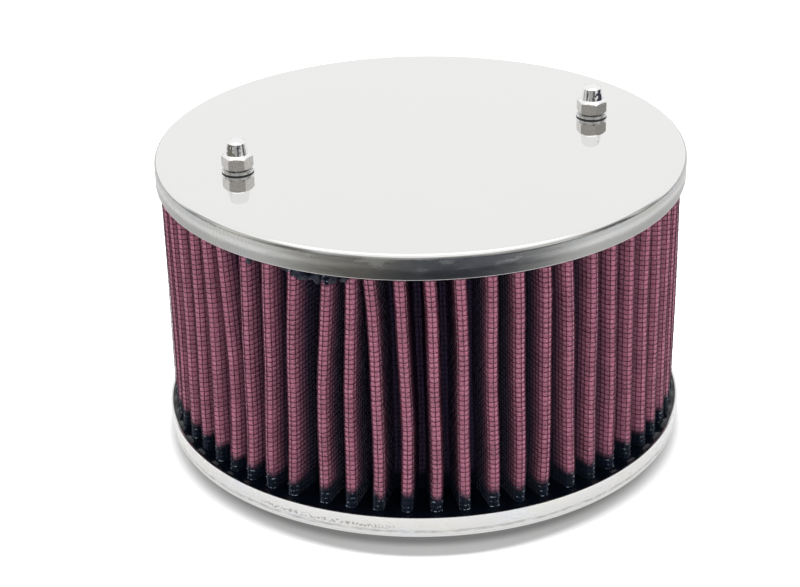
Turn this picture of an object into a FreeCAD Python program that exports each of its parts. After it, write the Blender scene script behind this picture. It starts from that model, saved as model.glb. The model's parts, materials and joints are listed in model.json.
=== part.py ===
import FreeCAD, Part
import math
import os
from types import SimpleNamespace

import Sketcher

# Round air cleaner for a carburettor. A pressed lid and a pressed base pan close a pleated
# gauze element, whose two ends are cast into resin rings. Two studs stand on the pan, pass
# inside the pleats and come out through the lid, where cap nuts hold everything together.
#
# Lengths are in millimetres and angles in degrees. The origin is the centre of the seat on
# which the pan stands on the carburettor, and +Z points up to the lid. The front is -Y.

# Driving dimensions: name, value, what it measures
DRIVING = [
    ("body_height", 99.3, "from the underside of the pan's rim to the top of the lid"),
    ("lid_radius", 88.9, "outside of the lid's skirt, a 7 inch lid"),
    ("lid_sheet", 1.0, "thickness of the lid's sheet"),
    ("skirt_height", 8.6, "from the top of the lid to the lower edge of its skirt"),
    ("lid_bend", 2.0, "outside radius of the bend into the skirt"),
    ("pan_overhang", 0.7, "how far the pan's rim stands outside the lid's skirt"),
    ("pan_sheet", 1.0, "thickness of the pan's sheet"),
    ("rim_height", 7.9, "outside height of the pan's rim"),
    ("rim_bend", 2.2, "outside radius of the bend into the rim"),
    ("seat_drop", 4.0, "how far the seat is pressed down below the pan's floor"),
    ("seat_width", 16.0, "flat of the seat between the inlet's bend and the step"),
    ("seat_stud_gap", 17.5, "from the outer edge of the seat to the middle of a stud"),
    ("step_angle", 50.0, "slope of the step between seat and floor"),
    ("step_bend", 2.0, "outside radius of the step's two bends"),
    ("lip_height", 9.0, "from the seat's face to the top of the inlet's lip"),
    ("lip_bend", 4.0, "outside radius of the bend into the lip"),
    ("carb_hole_radius", 4.25, "hole for an 8 mm stud of the carburettor"),
    ("nut_seal_gap", 2.8, "from a nut's flat to the inside of the end seals"),
    ("stud_bearing", 20.0, "turn of the line through both studs, from +X"),
    ("stud_radius", 2.5, "5 mm thread"),
    ("stud_chamfer", 0.5, "chamfer on each end of a stud"),
    ("stud_hole_gap", 0.3, "radial clearance of a stud in the sheets and washers"),
    ("thread_gap", 0.05, "radial clearance of a stud in its nuts"),
    ("nut_flats", 9.0, "across the flats of every nut"),
    ("nut_chamfer", 0.35, "height of the turned chamfer on a plain nut's corners"),
    ("under_nut_height", 2.7, "thin nut under the pan"),
    ("base_nut_height", 4.0, "full nut on the pan"),
    ("lock_washer_radius", 4.7, "outside of the split spring washer"),
    ("lock_washer_sheet", 1.2, "thickness of the split spring washer"),
    ("lock_washer_slit", 12.0, "angle left open by the slit"),
    ("washer_radius", 5.25, "outside of the flat washer"),
    ("washer_sheet", 0.9, "thickness of the flat washer"),
    ("seal_washer_radius", 5.25, "outside of the black ring under the flat washer"),
    ("seal_washer_sheet", 0.4, "thickness of the black ring"),
    ("cap_hex_height", 5.1, "from the foot of the cap nut to the foot of its dome"),
    ("cap_height", 10.2, "whole height of the cap nut"),
    ("cap_shoulder_fall", 1.2, "how far the cone round the dome falls to the corners"),
    ("cap_foot_radius", 4.0, "flat face on which the cap nut stands"),
    ("cap_foot_rise", 0.8, "how far the cone round that face rises to the corners"),
    ("dome_base_radius", 3.75, "foot of the cap nut's dome"),
    ("dome_neck_radius", 3.1, "where the dome's taper turns into its round top"),
    ("dome_top_height", 1.3, "height of the dome's round top"),
    ("cap_thread_depth", 7.4, "depth of the blind hole in the cap nut"),
    ("stud_end_gap", 0.8, "air above the stud in the cap nut"),
    ("pleat_count", 60.0, "pleats round the element"),
    ("pleat_depth", 15.6, "from the outer folds to the inner folds"),
    ("pleat_skirt_gap", 0.3, "between the outer folds and the inside of the skirt"),
    ("gauze_sheet", 0.9, "thickness of the folded medium"),
    ("outer_fold_radius", 2.2, "outside radius of an outer fold"),
    ("inner_fold_radius", 2.0, "outside radius of an inner fold"),
    ("seal_overlap", 1.2, "how far the end seals reach inside the inner folds"),
    ("upper_seal_height", 5.0, "height of the upper end seal"),
    ("seal_skirt_gap", 0.2, "between the upper end seal and the inside of the skirt"),
    ("seal_bend_gap", 0.1, "how far the end seals' bevels stand off the bends of the sheet"),
]

FULL_TURN = 360.0
# From a corner of a hexagon to the middle of the next flat
HALF_SECTOR = 30.0
# Two edges closer than this are the same edge
SAME_PLACE = 0.001
# Front and rear stud: side of the middle on which each stands
STUD_SIDES = {"front": -1, "rear": 1}
# Bearing of one corner of each cap nut, as it was left when it was tightened
CAP_NUT_TURN = {"front": -60.0, "rear": -78.0}
# Chords that draw the hidden faces of a fold; the outer face of an outer fold is a true arc
CREST_CHORDS = 5
HALF_INNER_FOLD_CHORDS = 3
HALF_GAP_CHORDS = 2


class Size:
    """A size with its number and the sheet expression that yields it."""

    def __init__(self, value, text):
        self.value = value
        self.text = text

    def __add__(self, other):
        other = as_size(other)
        return Size(self.value + other.value, f"({self.text} + {other.text})")

    def __sub__(self, other):
        other = as_size(other)
        return Size(self.value - other.value, f"({self.text} - {other.text})")

    def __mul__(self, other):
        other = as_size(other)
        return Size(self.value * other.value, f"({self.text} * {other.text})")

    def __truediv__(self, other):
        other = as_size(other)
        return Size(self.value / other.value, f"({self.text} / {other.text})")

    def __neg__(self):
        return Size(-self.value, f"(-1 * {self.text})")


def as_size(number):
    """A plain number as a Size; a Size stays as it is."""
    return number if isinstance(number, Size) else Size(float(number), repr(float(number)))


def sine(angle):
    return Size(math.sin(math.radians(angle.value)), f"sin({angle.text})")


def cosine(angle):
    return Size(math.cos(math.radians(angle.value)), f"cos({angle.text})")


def tangent(angle):
    return Size(math.tan(math.radians(angle.value)), f"tan({angle.text})")


def arc_sine(ratio):
    return Size(math.degrees(math.asin(ratio.value)), f"(asin({ratio.text}) / 1deg)")


def arc_tangent(ratio):
    return Size(math.degrees(math.atan(ratio.value)), f"(atan({ratio.text}) / 1deg)")


def length_of(along, across):
    return Size(math.hypot(along.value, across.value), f"hypot({along.text}; {across.text})")


ZERO = as_size(0)


def make_sheet(doc):
    """Fill the sheet with the driving dimensions and return them by name."""
    sheet = doc.addObject("Spreadsheet::Sheet", "Sizes")
    for row, (name, value, note) in enumerate(DRIVING, start=1):
        sheet.set(f"A{row}", name)
        sheet.set(f"B{row}", str(value))
        sheet.set(f"C{row}", note)
        sheet.setAlias(f"B{row}", name)
    doc.recompute()
    return SimpleNamespace(**{
        name: Size(float(sheet.get(name)), f"Sizes.{name}") for name, _, _ in DRIVING
    })


# Sketches

def new_body(doc, label):
    body = doc.addObject("PartDesign::Body", label)
    body.Label = label
    return body


def new_sketch(body, role, name):
    """A sketch on one of the body's own origin planes."""
    sketch = body.newObject("Sketcher::SketchObject", name)
    plane = next(item for item in body.Origin.OriginFeatures if item.Role == role)
    sketch.AttachmentSupport = [(plane, "")]
    sketch.MapMode = "FlatFace"
    return sketch


def bind(sketch, kind, first, second, size):
    """A driving constraint between two sketch points, tied to the sheet."""
    index = sketch.addConstraint(Sketcher.Constraint(kind, *first, *second, size.value))
    sketch.setExpression(f"Constraints[{index}]", size.text)


ORIGIN_POINT = (-1, 1)
# How a point is lined up with the origin when its distance of that kind is nothing
IN_LINE = {"DistanceX": "Vertical", "DistanceY": "Horizontal"}


def pin_point(sketch, point, x, y):
    """Hold one sketch point at x and y from the origin."""
    for kind, size in (("DistanceX", x), ("DistanceY", y)):
        if size is ZERO:
            sketch.addConstraint(Sketcher.Constraint(IN_LINE[kind], *ORIGIN_POINT, *point))
        elif size.value > 0:
            bind(sketch, kind, ORIGIN_POINT, point, size)
        else:
            bind(sketch, kind, point, ORIGIN_POINT, -size)


def vector(x, y):
    return FreeCAD.Vector(x.value, y.value, 0)


def draw_outline(sketch, corners, arcs=None):
    """A closed outline through corners; arcs gives (centre, radius, turns_left) by first corner."""
    arcs = arcs or {}
    ends = []
    for index, start in enumerate(corners):
        finish = corners[(index + 1) % len(corners)]
        if index in arcs:
            ends.append(draw_arc(sketch, start, finish, *arcs[index]))
        else:
            line = sketch.addGeometry(Part.LineSegment(vector(*start), vector(*finish)), False)
            ends.append(((line, 1), (line, 2)))
    for index, (start_point, _) in enumerate(ends):
        sketch.addConstraint(Sketcher.Constraint("Coincident", *ends[index - 1][1], *start_point))
        pin_point(sketch, start_point, *corners[index])


def draw_arc(sketch, start, finish, centre, radius, turns_left):
    """An arc between two corners; returns its sketch points at start and finish."""
    middle = vector(*centre)
    angles = []
    for corner in (start, finish):
        arm = vector(*corner) - middle
        angles.append(math.atan2(arm.y, arm.x))
    if not turns_left:
        angles.reverse()
    circle = Part.Circle(middle, FreeCAD.Vector(0, 0, 1), radius.value)
    arc = sketch.addGeometry(Part.ArcOfCircle(circle, *angles), False)
    index = sketch.addConstraint(Sketcher.Constraint("Radius", arc, radius.value))
    sketch.setExpression(f"Constraints[{index}]", radius.text)
    return ((arc, 1), (arc, 2)) if turns_left else ((arc, 2), (arc, 1))


def draw_circle(sketch, x, y, radius):
    circle = Part.Circle(vector(x, y), FreeCAD.Vector(0, 0, 1), radius.value)
    index = sketch.addGeometry(circle, False)
    pin_point(sketch, (index, 3), x, y)
    constraint = sketch.addConstraint(Sketcher.Constraint("Radius", index, radius.value))
    sketch.setExpression(f"Constraints[{constraint}]", radius.text)


# Features

def revolve(body, name, corners, arcs=None, kind="PartDesign::Revolution", angle=FULL_TURN):
    """Turn a section, drawn in radius and height, about the body's own Z axis."""
    sketch = new_sketch(body, "XZ_Plane", f"{name}_section")
    draw_outline(sketch, corners, arcs)
    feature = body.newObject(kind, name)
    feature.Profile = sketch
    feature.ReferenceAxis = (sketch, ["V_Axis"])
    feature.Angle = as_size(angle).value
    if isinstance(angle, Size):
        feature.setExpression("Angle", angle.text)
    return feature


def ring(body, name, inner, outer, bottom, top):
    """A plain turned ring."""
    return revolve(body, name, [(inner, bottom), (outer, bottom), (outer, top), (inner, top)])


def pad(body, name, sketch, height):
    feature = body.newObject("PartDesign::Pad", name)
    feature.Profile = sketch
    feature.Length = height.value
    feature.setExpression("Length", height.text)
    return feature


def pocket_through(body, name, sketch):
    """Cut a sketch of the base plane upwards through everything."""
    feature = body.newObject("PartDesign::Pocket", name)
    feature.Profile = sketch
    feature.Type = "ThroughAll"
    feature.Reversed = True
    return feature


def fillet_rings(body, name, base, rings, radius):
    """Round the circular edges of base that lie at the given (radius, height) pairs."""
    body.Document.recompute()
    names = []
    for index, edge in enumerate(base.Shape.Edges, start=1):
        if not isinstance(edge.Curve, Part.Circle):
            continue
        for ring_radius, height in rings:
            same_radius = abs(edge.Curve.Radius - ring_radius.value) < SAME_PLACE
            same_height = abs(edge.Curve.Center.z - height.value) < SAME_PLACE
            if same_radius and same_height:
                names.append(f"Edge{index}")
    feature = body.newObject("PartDesign::Fillet", name)
    feature.Base = (base, names)
    feature.Radius = radius.value
    feature.setExpression("Radius", radius.text)
    return feature


def place(body, x, y, z, bearing=0.0):
    """Move a finished body to its place, tied to the sheet, and turn it about Z."""
    body.Placement = FreeCAD.Placement(
        FreeCAD.Vector(x.value, y.value, z.value),
        FreeCAD.Rotation(FreeCAD.Vector(0, 0, 1), bearing),
    )
    for axis, size in (("x", x), ("y", y), ("z", z)):
        if size is not ZERO:
            body.setExpression(f"Placement.Base.{axis}", size.text)
    return body


# Radii, from the lid's skirt inwards

def fold_radius(d):
    """Outermost reach of the pleats, just inside the lid's skirt."""
    return d.lid_radius - d.lid_sheet - d.pleat_skirt_gap


def inner_fold_reach(d):
    return fold_radius(d) - d.pleat_depth


def seal_inner_radius(d):
    return inner_fold_reach(d) - d.seal_overlap


def stud_circle(d):
    """Each stud's distance from the middle: its nuts clear the end seals."""
    return seal_inner_radius(d) - d.nut_flats / 2 - d.nut_seal_gap


def seat_edge(d):
    return stud_circle(d) - d.seat_stud_gap


def seat_inner_edge(d):
    return seat_edge(d) - d.seat_width


def pan_radius(d):
    return d.lid_radius + d.pan_overhang


# Sheet metal

def stud_holes(body, name, d):
    """The two holes through which the studs pass."""
    sketch = new_sketch(body, "XY_Plane", f"{name}_circles")
    for side in STUD_SIDES.values():
        draw_circle(sketch, *stud_place(d, side), d.stud_radius + d.stud_hole_gap)
    return pocket_through(body, name, sketch)


def stud_place(d, side):
    """Middle of the stud that stands on the given side."""
    reach = stud_circle(d) * side
    return reach * cosine(d.stud_bearing), reach * sine(d.stud_bearing)


def make_lid(doc, d):
    """Flat round cover, its edge turned down in one round bend."""
    body = new_body(doc, "lid")
    top = d.seat_drop + d.body_height
    underside = top - d.lid_sheet
    edge = top - d.skirt_height
    inside = d.lid_radius - d.lid_sheet
    pressed = revolve(body, "pressed_cover", [
        (ZERO, underside), (inside, underside), (inside, edge),
        (d.lid_radius, edge), (d.lid_radius, top), (ZERO, top),
    ])
    outer = fillet_rings(body, "outer_bend", pressed, [(d.lid_radius, top)], d.lid_bend)
    fillet_rings(body, "inner_bend", outer, [(inside, underside)], d.lid_bend - d.lid_sheet)
    stud_holes(body, "stud_holes", d)
    return place(body, ZERO, ZERO, ZERO)


def make_base_pan(doc, d):
    """Pan with a turned-up rim, a seat pressed down in the middle and a turned-up inlet lip."""
    body = new_body(doc, "base_pan")
    sheet = d.pan_sheet
    floor = d.seat_drop
    rim_top = d.seat_drop + d.rim_height
    rim_outside = pan_radius(d)
    rim_inside = rim_outside - sheet
    lip_inside = seat_inner_edge(d) - d.lip_bend
    lip_outside = lip_inside + sheet
    step_foot = seat_edge(d)
    step_top = step_foot + d.seat_drop / tangent(d.step_angle)
    # The upper face of a sloped sheet lies nearer the middle than its lower face
    step_shift = sheet * tangent(d.step_angle / 2)
    pressed = revolve(body, "pressed_pan", [
        (lip_inside, ZERO), (step_foot, ZERO), (step_top, floor), (rim_outside, floor),
        (rim_outside, rim_top), (rim_inside, rim_top), (rim_inside, floor + sheet),
        (step_top - step_shift, floor + sheet), (step_foot - step_shift, sheet),
        (lip_outside, sheet), (lip_outside, d.lip_height), (lip_inside, d.lip_height),
    ])
    bends = [
        ("rim_bend_outside", [(rim_outside, floor)], d.rim_bend),
        ("rim_bend_inside", [(rim_inside, floor + sheet)], d.rim_bend - sheet),
        ("lip_bend_outside", [(lip_inside, ZERO)], d.lip_bend),
        ("lip_bend_inside", [(lip_outside, sheet)], d.lip_bend - sheet),
        ("step_bends_outside", [(step_foot, ZERO), (step_top - step_shift, floor + sheet)],
         d.step_bend),
        ("step_bends_inside", [(step_top, floor), (step_foot - step_shift, sheet)],
         d.step_bend - sheet),
    ]
    for name, rings, radius in bends:
        pressed = fillet_rings(body, name, pressed, rings, radius)
    stud_holes(body, "stud_holes", d)
    sketch = new_sketch(body, "XY_Plane", "carburettor_hole_circles")
    hole_reach = seat_inner_edge(d) + d.seat_width / 2
    for side in STUD_SIDES.values():
        draw_circle(sketch, hole_reach * side, ZERO, d.carb_hole_radius)
    pocket_through(body, "carburettor_holes", sketch)
    return place(body, ZERO, ZERO, ZERO)


# Filter element

def on_bearing(radius, bearing):
    return radius * cosine(bearing), radius * sine(bearing)


def mirrored(points):
    return [(x, -y) for x, y in points]


def fold_face(centre, radius, first, last, chords):
    """Points on one face of a fold, from the first bearing to the last."""
    step = (last - first) / chords
    points = []
    for index in range(chords + 1):
        across, along = on_bearing(radius, first + step * index)
        points.append((centre[0] + across, centre[1] + along))
    return points


def make_pleated_element(doc, d):
    """One strip folded to and fro round the whole ring: round folds joined by straight flanks."""
    body = new_body(doc, "pleated_element")
    sheet = d.gauze_sheet
    half_pitch = as_size(FULL_TURN / 2) / d.pleat_count
    outer_centre = (fold_radius(d) - d.outer_fold_radius, as_size(0))
    inner_centre = on_bearing(inner_fold_reach(d) + d.inner_fold_radius, half_pitch)
    run = outer_centre[0] - inner_centre[0]
    rise = inner_centre[1]
    # A flank touches an outer fold and the next inner fold, which turn opposite ways
    fold_sum = d.outer_fold_radius + d.inner_fold_radius - sheet
    flank = arc_tangent(rise / run) - arc_sine(fold_sum / length_of(run, rise))
    # Bearings at which the flank leaves the outer fold and meets the inner fold
    leaves = as_size(FULL_TURN / 4) - flank
    meets = leaves + FULL_TURN / 2
    fold_bottom = half_pitch + FULL_TURN / 2
    crest = fold_face(outer_centre, d.outer_fold_radius, leaves, -leaves, 1)
    crest_inside = fold_face(
        outer_centre, d.outer_fold_radius - sheet, leaves, -leaves, CREST_CHORDS)
    gap_bottom = fold_face(
        inner_centre, d.inner_fold_radius - sheet, fold_bottom, meets, HALF_GAP_CHORDS)
    inner_fold = fold_face(
        inner_centre, d.inner_fold_radius, fold_bottom, meets, HALF_INNER_FOLD_CHORDS)
    corners = (
        mirrored(gap_bottom) + crest[::-1] + gap_bottom[::-1]
        + inner_fold + crest_inside + mirrored(inner_fold[::-1])
    )
    crest_start = len(gap_bottom)
    sketch = new_sketch(body, "XY_Plane", "one_pleat")
    draw_outline(sketch, corners, {crest_start: (outer_centre, d.outer_fold_radius, True)})
    foot = d.seat_drop + d.rim_height
    head = d.seat_drop + d.body_height - d.lid_sheet - d.upper_seal_height
    pleat = pad(body, "pleat", sketch, head - foot)
    pattern = body.newObject("PartDesign::PolarPattern", "pleats")
    pattern.Originals = [pleat]
    axis = next(item for item in body.Origin.OriginFeatures if item.Role == "Z_Axis")
    pattern.Axis = (axis, [""])
    pattern.Angle = FULL_TURN
    pattern.Occurrences = int(d.pleat_count.value)
    pattern.setExpression("Occurrences", d.pleat_count.text)
    body.Tip = pattern
    return place(body, ZERO, ZERO, foot)


def make_upper_end_seal(doc, d):
    """Resin ring that caps the top of the pleats and bears on the underside of the lid."""
    body = new_body(doc, "upper_end_seal")
    inner = seal_inner_radius(d)
    outer = d.lid_radius - d.lid_sheet - d.seal_skirt_gap
    height = d.upper_seal_height
    bevel = d.lid_bend - d.lid_sheet + d.seal_bend_gap
    revolve(body, "cast_ring", [
        (inner, ZERO), (outer, ZERO), (outer, height - bevel), (outer - bevel, height),
        (inner, height),
    ])
    return place(body, ZERO, ZERO, d.seat_drop + d.body_height - d.lid_sheet - height)


def make_lower_end_seal(doc, d):
    """Resin ring cast into the pan, up to the level of its rim, in which the pleats stand."""
    body = new_body(doc, "lower_end_seal")
    inner = seal_inner_radius(d)
    outer = pan_radius(d) - d.pan_sheet
    depth = d.rim_height - d.pan_sheet
    bevel = d.rim_bend - d.pan_sheet + d.seal_bend_gap
    revolve(body, "cast_ring", [
        (inner, ZERO), (outer - bevel, ZERO), (outer, bevel), (outer, depth), (inner, depth),
    ])
    return place(body, ZERO, ZERO, d.seat_drop + d.pan_sheet)


# Fasteners

def hexagon_pad(body, d, height):
    """A hexagon across nut_flats, one corner on +X."""
    sketch = new_sketch(body, "XY_Plane", "hexagon")
    across = d.nut_flats / 2
    corner = across / cosine(as_size(HALF_SECTOR))
    half_side = corner / 2
    draw_outline(sketch, [
        (corner, ZERO), (half_side, across), (-half_side, across),
        (-corner, ZERO), (-half_side, -across), (half_side, -across),
    ])
    return pad(body, "hexagon_bar", sketch, height)


def turn_corners(body, d, name, height, start, fall, end):
    """Turn a cone on one end of the hexagon, +1 for the upper and -1 for the lower one.

    It leaves the end face at the radius start, and is fall away from it at the corners.
    """
    corner = d.nut_flats / 2 / cosine(as_size(HALF_SECTOR))
    beyond = corner + fall
    depth = (beyond - start) * (fall / (corner - start))
    return revolve(body, name, [
        (start, height), (beyond, height), (beyond, height - depth * end),
    ], kind="PartDesign::Groove")


def bore_nut(body, d, depth, tip):
    """Cut the thread's hole from below, with a drill point of the given height at its end."""
    radius = d.stud_radius + d.thread_gap
    return revolve(body, "thread_hole", [
        (ZERO, ZERO), (radius, ZERO), (radius, depth), (ZERO, depth + tip),
    ], kind="PartDesign::Groove")


def make_hex_nut(doc, d, label, side, height, z):
    """Plain hexagon nut, chamfered at both ends."""
    body = new_body(doc, label)
    hexagon_pad(body, d, height)
    turn_corners(body, d, "upper_chamfer", height, d.nut_flats / 2, d.nut_chamfer, 1)
    turn_corners(body, d, "lower_chamfer", as_size(0), d.nut_flats / 2, d.nut_chamfer, -1)
    sketch = new_sketch(body, "XY_Plane", "thread_circle")
    draw_circle(sketch, ZERO, ZERO, d.stud_radius + d.thread_gap)
    pocket_through(body, "thread_hole", sketch)
    return place(body, *stud_place(d, side), z)


def make_cap_nut(doc, d, name, side, z):
    """Hexagon nut with turned shoulders, closed by a tapered dome with a round top."""
    body = new_body(doc, f"cap_nut_{name}")
    hexagon_pad(body, d, d.cap_hex_height)
    turn_corners(body, d, "shoulder", d.cap_hex_height, d.dome_base_radius,
                 d.cap_shoulder_fall, 1)
    turn_corners(body, d, "foot", as_size(0), d.cap_foot_radius, d.cap_foot_rise, -1)
    neck = d.cap_height - d.dome_top_height
    neck_radius = d.dome_neck_radius
    # Round top through the neck and the highest point, centred on the axis
    round_radius = neck_radius * neck_radius / d.dome_top_height / 2 + d.dome_top_height / 2
    centre = (as_size(0), d.cap_height - round_radius)
    revolve(body, "dome", [
        (ZERO, d.cap_hex_height), (d.dome_base_radius, d.cap_hex_height),
        (neck_radius, neck), (ZERO, d.cap_height),
    ], {2: (centre, round_radius, True)})
    bore_nut(body, d, d.cap_thread_depth, d.stud_radius / 3)
    return place(body, *stud_place(d, side), z, CAP_NUT_TURN[name])


def make_stud(doc, d, name, side, bottom, top):
    """Straight threaded stud, chamfered at both ends."""
    body = new_body(doc, f"stud_{name}")
    length = top - bottom
    end_radius = d.stud_radius - d.stud_chamfer
    revolve(body, "stud_bar", [
        (ZERO, ZERO), (end_radius, ZERO), (d.stud_radius, d.stud_chamfer),
        (d.stud_radius, length - d.stud_chamfer), (end_radius, length), (ZERO, length),
    ])
    return place(body, *stud_place(d, side), bottom)


def make_lock_washer(doc, d, name, side, z):
    """Spring washer, flat under its nut, with its slit left open."""
    body = new_body(doc, f"lock_washer_{name}")
    bore = d.stud_radius + d.stud_hole_gap
    revolve(body, "split_ring", [
        (bore, ZERO), (d.lock_washer_radius, ZERO),
        (d.lock_washer_radius, d.lock_washer_sheet), (bore, d.lock_washer_sheet),
    ], angle=as_size(FULL_TURN) - d.lock_washer_slit)
    return place(body, *stud_place(d, side), z)


def make_washer(doc, d, label, side, radius, sheet, z):
    """Flat ring round a stud."""
    body = new_body(doc, label)
    ring(body, "ring", d.stud_radius + d.stud_hole_gap, radius, ZERO, sheet)
    return place(body, *stud_place(d, side), z)


def make_stud_set(doc, d, name, side):
    """A stud with all that is threaded or slid onto it, from the bottom up."""
    floor_top = d.seat_drop + d.pan_sheet
    lid_top = d.seat_drop + d.body_height
    under = d.seat_drop - d.under_nut_height
    base_nut = floor_top + d.lock_washer_sheet
    washer = lid_top + d.seal_washer_sheet
    cap = washer + d.washer_sheet
    return [
        make_stud(doc, d, name, side, under, cap + d.cap_thread_depth - d.stud_end_gap),
        make_hex_nut(doc, d, f"under_nut_{name}", side, d.under_nut_height, under),
        make_lock_washer(doc, d, name, side, floor_top),
        make_hex_nut(doc, d, f"base_nut_{name}", side, d.base_nut_height, base_nut),
        make_washer(doc, d, f"seal_washer_{name}", side,
                    d.seal_washer_radius, d.seal_washer_sheet, lid_top),
        make_washer(doc, d, f"flat_washer_{name}", side,
                    d.washer_radius, d.washer_sheet, washer),
        make_cap_nut(doc, d, name, side, cap),
    ]


def check_and_write(doc, bodies):
    """Write every body, once all objects are sound."""
    doc.recompute()
    for item in doc.Objects:
        if {"Invalid", "Error"} & set(item.State):
            raise RuntimeError(f"{item.Label} is {item.State}")
    for body in bodies:
        if body.Shape.isNull() or not body.Shape.isValid() or len(body.Shape.Solids) != 1:
            raise RuntimeError(f"{body.Label} is not one sound solid")
    os.makedirs("parts", exist_ok=True)
    for body in bodies:
        body.Shape.exportStep(f"parts/{body.Label}.step")
        box = body.Shape.BoundBox
        print(f"{body.Label}: {body.Shape.Volume:.1f} mm3, z {box.ZMin:.2f} to {box.ZMax:.2f}")


def main():
    doc = FreeCAD.newDocument("air_cleaner")
    d = make_sheet(doc)
    bodies = [
        make_lid(doc, d),
        make_base_pan(doc, d),
        make_pleated_element(doc, d),
        make_upper_end_seal(doc, d),
        make_lower_end_seal(doc, d),
    ]
    for name, side in STUD_SIDES.items():
        bodies += make_stud_set(doc, d, name, side)
    check_and_write(doc, bodies)


main()
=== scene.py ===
# %% [markdown]
# # A carburettor air cleaner
#
# The real thing is a long strip of oiled red gauze between two layers of woven wire, folded into
# sixty pleats and set in dark resin at both ends. A chromed lid and a chromed pan close the ring,
# and two studs with cap nuts hold everything together. The lesson builds what can be seen of it
# round a fixed frame of plain solids, which gives every piece its real size and place.

# %% The frame
import json
import math
import random
from contextlib import contextmanager

import bmesh
import bpy
import numpy as np
from mathutils import Matrix, Vector, kdtree

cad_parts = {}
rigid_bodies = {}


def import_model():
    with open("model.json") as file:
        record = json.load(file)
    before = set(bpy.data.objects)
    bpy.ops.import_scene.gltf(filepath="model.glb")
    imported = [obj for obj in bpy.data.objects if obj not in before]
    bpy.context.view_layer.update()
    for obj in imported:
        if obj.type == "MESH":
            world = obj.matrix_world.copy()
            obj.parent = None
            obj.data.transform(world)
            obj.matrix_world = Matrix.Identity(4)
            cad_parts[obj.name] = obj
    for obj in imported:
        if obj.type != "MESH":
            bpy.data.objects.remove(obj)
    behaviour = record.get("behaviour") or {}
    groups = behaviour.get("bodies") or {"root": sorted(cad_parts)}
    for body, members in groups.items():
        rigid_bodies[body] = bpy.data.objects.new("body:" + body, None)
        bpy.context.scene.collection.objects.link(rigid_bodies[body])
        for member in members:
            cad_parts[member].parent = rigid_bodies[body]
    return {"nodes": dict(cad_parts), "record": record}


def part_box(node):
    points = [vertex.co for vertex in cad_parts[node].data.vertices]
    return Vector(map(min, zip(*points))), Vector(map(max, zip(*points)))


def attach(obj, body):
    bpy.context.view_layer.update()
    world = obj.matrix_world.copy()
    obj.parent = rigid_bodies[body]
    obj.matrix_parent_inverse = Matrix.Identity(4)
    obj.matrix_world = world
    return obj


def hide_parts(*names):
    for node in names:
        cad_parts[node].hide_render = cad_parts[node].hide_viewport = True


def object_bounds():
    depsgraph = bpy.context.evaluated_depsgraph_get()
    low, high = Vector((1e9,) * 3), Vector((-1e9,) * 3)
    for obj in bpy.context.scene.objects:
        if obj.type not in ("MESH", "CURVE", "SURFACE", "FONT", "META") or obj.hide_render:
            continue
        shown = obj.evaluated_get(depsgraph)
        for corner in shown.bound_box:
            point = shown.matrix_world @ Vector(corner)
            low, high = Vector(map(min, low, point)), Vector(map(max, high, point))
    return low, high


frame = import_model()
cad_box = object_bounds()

MM = 0.001
size_mm = [round((high - low) / MM, 1) for low, high in zip(*cad_box)]
print("solids:", len(frame["nodes"]), "whole object in mm:", size_mm)

# %% [markdown]
# ## Sizes
#
# Nothing is measured twice. The frame already knows how wide the lid is and how high the pleats
# stand, so the sizes are read from its boxes, and only what no box can tell is written here. The
# front of the object is -Y, and a bearing is an angle from there, positive to the right.

# %% Sizes taken from the frame
HOLE_CLEARANCE = 0.3 * MM
lid_low, lid_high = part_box("lid")
pan_low, pan_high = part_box("base_pan")
pleat_low, pleat_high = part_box("pleated_element")
foot_low, foot_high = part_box("lower_end_seal")

LID_RADIUS, LID_TOP, SKIRT_EDGE = lid_high.x, lid_high.z, lid_low.z
PAN_RADIUS, RIM_TOP, SEAT = pan_high.x, pan_high.z, pan_low.z
POOL_RADIUS = foot_high.x
SHEET = PAN_RADIUS - POOL_RADIUS
PAN_FLOOR = foot_low.z - SHEET
OUTER_FOLDS = pleat_high.x
PLEAT_HEIGHT = pleat_high.z - pleat_low.z
STUDS = {}
for side in ("front", "rear"):
    low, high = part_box(f"stud_{side}")
    STUDS[side] = (low + high) / 2
STUD_RADIUS = (high.x - low.x) / 2
STUD_HOLE = STUD_RADIUS + HOLE_CLEARANCE
print("lid radius", round(LID_RADIUS / MM, 2), "pan radius", round(PAN_RADIUS / MM, 2))
print("sheet", round(SHEET / MM, 2), "pleats reach", round(OUTER_FOLDS / MM, 2))


def at_bearing(radius, degrees, height=0.0):
    """The point at that distance from the middle, on that bearing from the front."""
    turn = math.radians(degrees)
    return Vector((radius * math.sin(turn), -radius * math.cos(turn), height))


# %% [markdown]
# ## Node trees
#
# A material is a tree of nodes. One short function adds a node, sets its options and fills its
# inputs: a plain value goes into the socket, and another node's output is linked to it. What comes
# out is a signal, and signals can be added, subtracted and multiplied like numbers, where each
# sign adds a Math node. So a recipe reads like a sum.

# %% Signals
class Signal:
    """What a node puts out."""

    def __init__(self, tree, socket):
        self.tree, self.socket = tree, socket

    def sibling(self, output):
        """Another output of the same node."""
        return Signal(self.tree, self.socket.node.outputs[output])

    def maths(self, operation, *others):
        inputs = {0: self, **dict(enumerate(others, 1))}
        return node(self.tree, "ShaderNodeMath", inputs, operation=operation)

    def __add__(self, other):
        return self.maths("ADD", other)

    def __sub__(self, other):
        return self.maths("SUBTRACT", other)

    def __mul__(self, other):
        return self.maths("MULTIPLY", other)

    def __abs__(self):
        return self.maths("ABSOLUTE")

    def ramp(self, start, finish, low=0.0, high=1.0):
        """Smoothly turn start..finish into low..high."""
        return node(self.tree, "ShaderNodeMapRange", {
            "Value": self, "From Min": start, "From Max": finish, "To Min": low, "To Max": high,
        }, interpolation_type="SMOOTHSTEP")


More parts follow.
